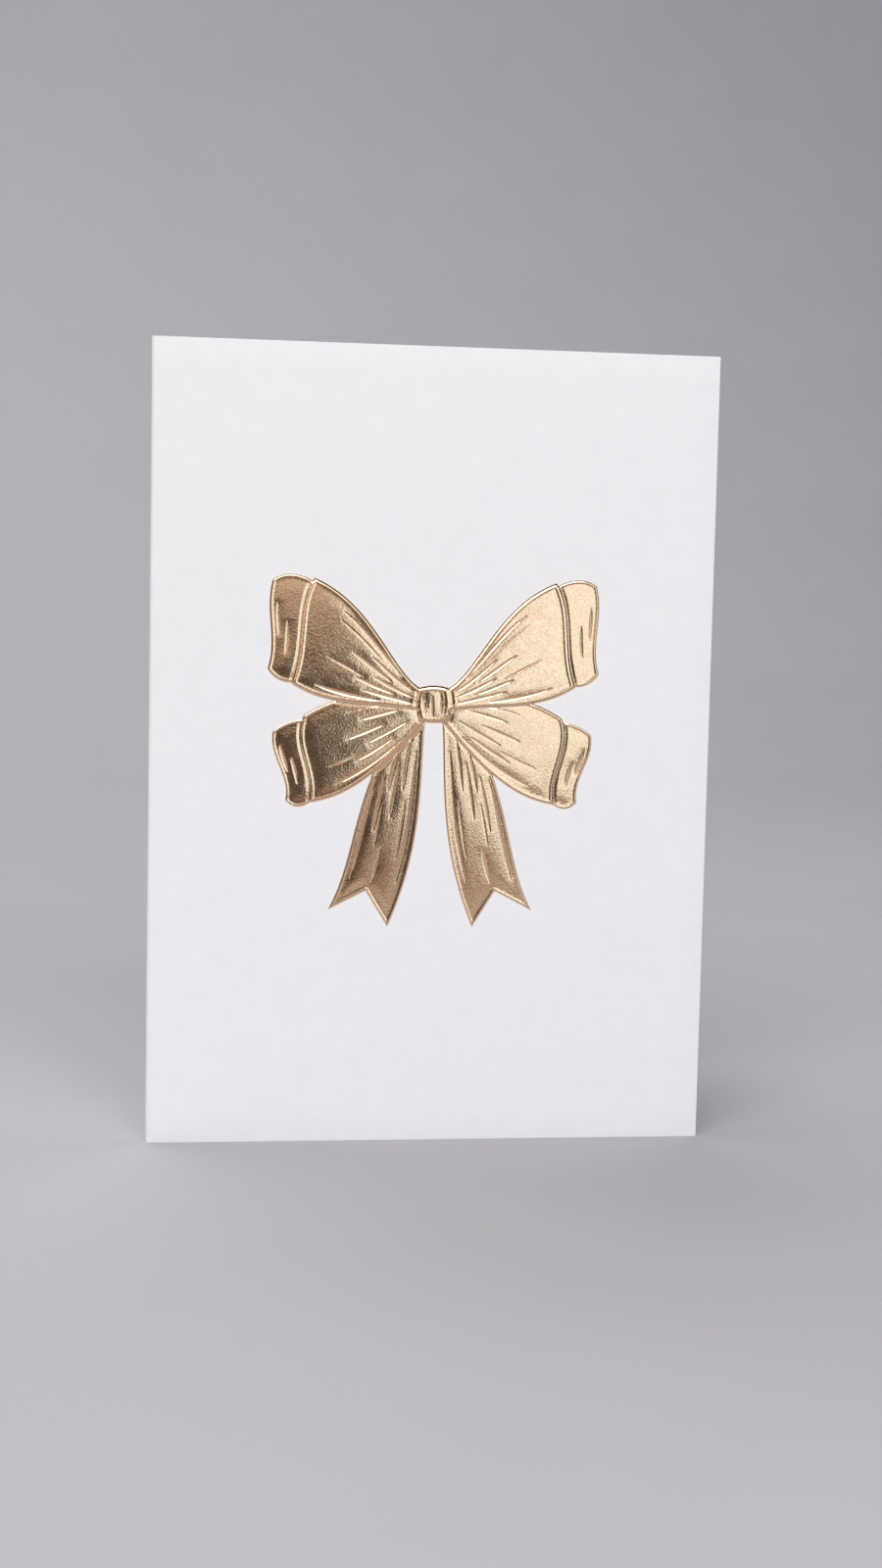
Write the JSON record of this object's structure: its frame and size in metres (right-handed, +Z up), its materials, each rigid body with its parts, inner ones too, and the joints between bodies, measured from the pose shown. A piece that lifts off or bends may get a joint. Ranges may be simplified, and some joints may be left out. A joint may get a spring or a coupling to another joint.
{
  "type": "greeting card",
  "caption": "Folded card standing on its edges, upright fold on the left, with an embossed bow in metallic foil on the front leaf.",
  "frame": {"origin": "middle of the standing footprint, on the table", "axes": "+Z up along the fold, -Y out of the front leaf's face, +X from the fold to the front leaf's free edge"},
  "size_m": [0.105, 0.069, 0.148],
  "materials": {
    "card_stock": "smooth matt uncoated board",
    "gold_foil": "hot-stamped metallised film tinted champagne gold, satin"
  },
  "bodies": {
    "root": {"folded_card": "card_stock", "bow_foil": "gold_foil"}
  },
  "joints": []
}
